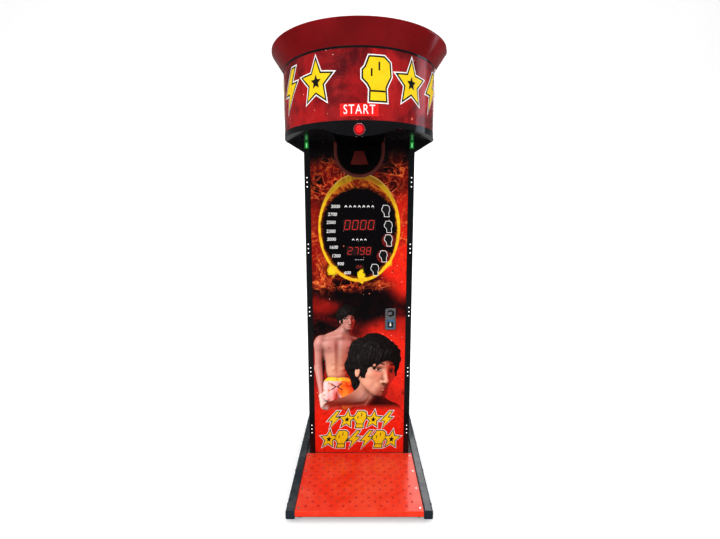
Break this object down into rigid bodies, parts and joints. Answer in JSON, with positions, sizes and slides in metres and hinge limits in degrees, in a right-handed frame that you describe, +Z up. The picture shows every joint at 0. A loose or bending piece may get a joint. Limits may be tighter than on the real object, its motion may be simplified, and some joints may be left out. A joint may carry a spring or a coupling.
{
  "type": "boxing punch machine",
  "caption": "Arcade strength tester: slim lit tower on a tread platform, round flared head, drop-down punch bag, score displays and coin entry.",
  "frame": {"origin": "on the floor, below the vertical axis of the round head, which lies in the plane of the tower's front posts", "axes": "+Z up, -Y towards the player, +X to the right seen from the front"},
  "size_m": [0.85, 0.888, 2.2],
  "materials": {
    "frame_black": "satin black powder coat",
    "gloss_black": "glossy black lacquer",
    "rear_black": "fine textured black paint",
    "tread_red": "glossy bright red paint",
    "bright_zinc": "bright zinc plate",
    "polished_steel": "finely brushed stainless steel",
    "tower_print": "glossy printed polycarbonate, red flames on black",
    "head_print": "glossy printed vinyl, red with sparks",
    "crown_red": "glossy deep red enamel",
    "lid_grey": "satin dark grey paint",
    "lamp_lens": "clear moulded lens",
    "green_lens": "clear green moulding",
    "circuit_green": "solder-masked circuit board",
    "display_dark": "smoked red display window",
    "moulded_black": "fine textured black moulding",
    "reject_steel": "polished plated button",
    "rocker_red": "translucent red rocker",
    "start_red": "translucent red push button",
    "supply_steel": "perforated aluminium case",
    "pad_red": "dark red upholstery vinyl",
    "bag_leather": "red grained leather with sewn seams",
    "liner_black": "matt black vacuum-formed sheet",
    "pad_rubber": "dull red-brown rubber",
    "black_rubber": "black rubber",
    "drum_steel": "primed steel sheet",
    "arm_grey": "grey painted steel",
    "bearing_iron": "cast pillow block",
    "soft_iron": "ground soft iron"
  },
  "bodies": {
    "cabinet": {"base_frame": "frame_black", "bearing_blocks": "bearing_iron", "cash_box": "bright_zinc", "coin_chute": "bright_zinc", "coin_faceplate": "polished_steel", "coin_mech": "moulded_black", "control_board": "circuit_green", "corner_posts": "gloss_black", "crown": "crown_red", "display_board": "circuit_green", "door_hinges": "bright_zinc", "drum_shell": "drum_steel", "fascia_ring": "gloss_black", "front_panel": "bright_zinc", "front_print": "tower_print", "green_lamps": "green_lens", "head_plate": "gloss_black", "head_skirts": "gloss_black", "head_wrap": "head_print", "holding_magnet": "soft_iron", "led_lenses": "lamp_lens", "led_strips": "circuit_green", "left_rail": "gloss_black", "left_side_panel": "gloss_black", "levelling_feet": "moulded_black", "mechanism_frame": "frame_black", "notch_guard": "pad_red", "power_inlet": "moulded_black", "power_supply": "supply_steel", "rear_panel": "rear_black", "recess_liner": "liner_black", "right_rail": "gloss_black", "right_side_panel": "gloss_black", "rubber_buffers": "black_rubber", "score_displays": "display_dark", "speaker": "moulded_black", "speed_sensor": "moulded_black", "start_bezel": "moulded_black", "start_switch": "moulded_black", "stop_pad": "pad_rubber", "top_cover": "lid_grey", "tower_floor": "frame_black", "tower_frame": "frame_black", "tread_plate": "tread_red", "tread_screws": "bright_zinc", "trim_ring": "gloss_black", "wheel_forks": "frame_black"},
    "bag_arm": {"bag_arm": "arm_grey", "bag_shaft": "polished_steel", "punch_bag": "bag_leather", "armature_plate": "soft_iron", "encoder_disc": "polished_steel"},
    "start_button": {"start_button": "start_red"},
    "reject_button": {"reject_button": "reject_steel"},
    "coin_flap": {"coin_flap": "moulded_black"},
    "rear_door": {"rear_door": "rear_black"},
    "door_lock": {"door_lock": "bright_zinc"},
    "power_rocker": {"power_rocker": "rocker_red"},
    "left_wheel": {"left_wheel": "black_rubber"},
    "right_wheel": {"right_wheel": "black_rubber"}
  },
  "joints": [
    {"name": "bag_swing", "type": "hinge", "parent": "cabinet", "child": "bag_arm", "pos_m": [0, -0.21, 2.01], "axis": [1, 0, 0], "range_deg": [-90, 0]},
    {"name": "start_button_press", "type": "slide", "parent": "cabinet", "child": "start_button", "axis": [0, 1, 0], "range_m": [0, 0.0035], "stiffness_N_per_m": 500, "springref_m": -0.002},
    {"name": "reject_button_press", "type": "slide", "parent": "cabinet", "child": "reject_button", "axis": [0, 1, 0], "range_m": [0, 0.004], "stiffness_N_per_m": 400, "springref_m": -0.002},
    {"name": "coin_flap_swing", "type": "hinge", "parent": "cabinet", "child": "coin_flap", "pos_m": [0.171, 0.0056, 0.846], "axis": [1, 0, 0], "range_deg": [0, 55]},
    {"name": "rear_door_swing", "type": "hinge", "parent": "cabinet", "child": "rear_door", "pos_m": [-0.191, 0.378, 0.84], "axis": [0, 0, 1], "range_deg": [0, 110]},
    {"name": "door_lock_turn", "type": "hinge", "parent": "rear_door", "child": "door_lock", "pos_m": [0.168, 0.367, 0.84], "axis": [0, 1, 0], "range_deg": [0, 90]},
    {"name": "power_rocker_tilt", "type": "hinge", "parent": "cabinet", "child": "power_rocker", "pos_m": [0.15, 0.368, 0.165], "axis": [1, 0, 0], "range_deg": [0, 18]},
    {"name": "left_wheel_spin", "type": "hinge", "parent": "cabinet", "child": "left_wheel", "pos_m": [-0.19, 0.401, 0.028], "axis": [1, 0, 0], "continuous": true},
    {"name": "right_wheel_spin", "type": "hinge", "parent": "cabinet", "child": "right_wheel", "pos_m": [0.19, 0.401, 0.028], "axis": [1, 0, 0], "continuous": true}
  ]
}
